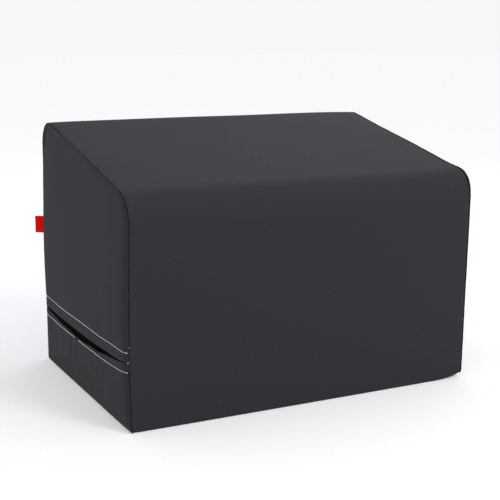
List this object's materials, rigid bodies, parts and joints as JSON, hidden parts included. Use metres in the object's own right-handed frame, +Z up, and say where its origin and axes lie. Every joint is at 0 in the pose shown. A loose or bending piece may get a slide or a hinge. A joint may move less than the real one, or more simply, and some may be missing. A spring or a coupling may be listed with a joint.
{
  "type": "foam training horse",
  "caption": "Free-standing foam training block with a sloping top, rounded long edges and a zipped leatherette cover, for leaning, jumping and vaulting drills.",
  "frame": {"origin": "middle of the base, on the floor", "axes": "+X along the length of the body, with the label on the -X end, +Y from the low front to the tall back, +Z up"},
  "size_m": [0.615, 0.4143, 0.4225],
  "materials": {
    "leatherette": "matte fine grain",
    "base_cloth": "coarse non-slip cloth",
    "plank_foam": "open-cell foam",
    "pad_foam": "open-cell foam",
    "zip_tape": "woven",
    "zip_coil": "satin",
    "zip_metal": "satin",
    "thread": "spun thread",
    "label": "woven"
  },
  "bodies": {
    "block": {"core_plank_01": "plank_foam", "core_plank_02": "plank_foam", "core_plank_03": "plank_foam", "core_plank_04": "plank_foam", "core_plank_05": "plank_foam", "core_plank_06": "plank_foam", "core_plank_07": "plank_foam", "core_plank_08": "plank_foam", "core_plank_09": "plank_foam", "core_plank_10": "plank_foam", "core_top_pad": "pad_foam", "cover_wrap": "leatherette", "cover_back_lower": "leatherette", "cover_left_upper": "leatherette", "cover_left_lower": "leatherette", "cover_right_upper": "leatherette", "cover_right_lower": "leatherette", "cover_base": "base_cloth", "zip_tape_upper": "zip_tape", "zip_tape_lower": "zip_tape", "zip_coil_upper": "zip_coil", "zip_coil_lower": "zip_coil", "zip_stop_left": "zip_metal", "zip_stop_right": "zip_metal", "topstitch_left_upper": "thread", "topstitch_left_lower": "thread", "topstitch_back_upper": "thread", "topstitch_back_lower": "thread", "topstitch_right_upper": "thread", "topstitch_right_lower": "thread", "bar_tack_left": "thread", "bar_tack_right": "thread", "label_tag": "label"},
    "slider_left": {"zip_slider_left_body": "zip_metal", "zip_slider_left_crown": "zip_metal"},
    "slider_right": {"zip_slider_right_body": "zip_metal", "zip_slider_right_crown": "zip_metal"},
    "pull_left": {"zip_slider_left_pull": "zip_metal"},
    "pull_right": {"zip_slider_right_pull": "zip_metal"}
  },
  "joints": [
    {"name": "slider_left_slide", "type": "slide", "parent": "block", "child": "slider_left", "axis": [-1, 0, 0], "range_m": [0, 0.27]},
    {"name": "slider_right_slide", "type": "slide", "parent": "block", "child": "slider_right", "axis": [1, 0, 0], "range_m": [0, 0.27]},
    {"name": "pull_left_swing", "type": "hinge", "parent": "slider_left", "child": "pull_left", "pos_m": [-0.00675, 0.1997, 0.1016], "axis": [0, 0, -1], "range_deg": [0, 105]},
    {"name": "pull_right_swing", "type": "hinge", "parent": "slider_right", "child": "pull_right", "pos_m": [0.00675, 0.1997, 0.1016], "axis": [0, 0, 1], "range_deg": [0, 105]}
  ]
}
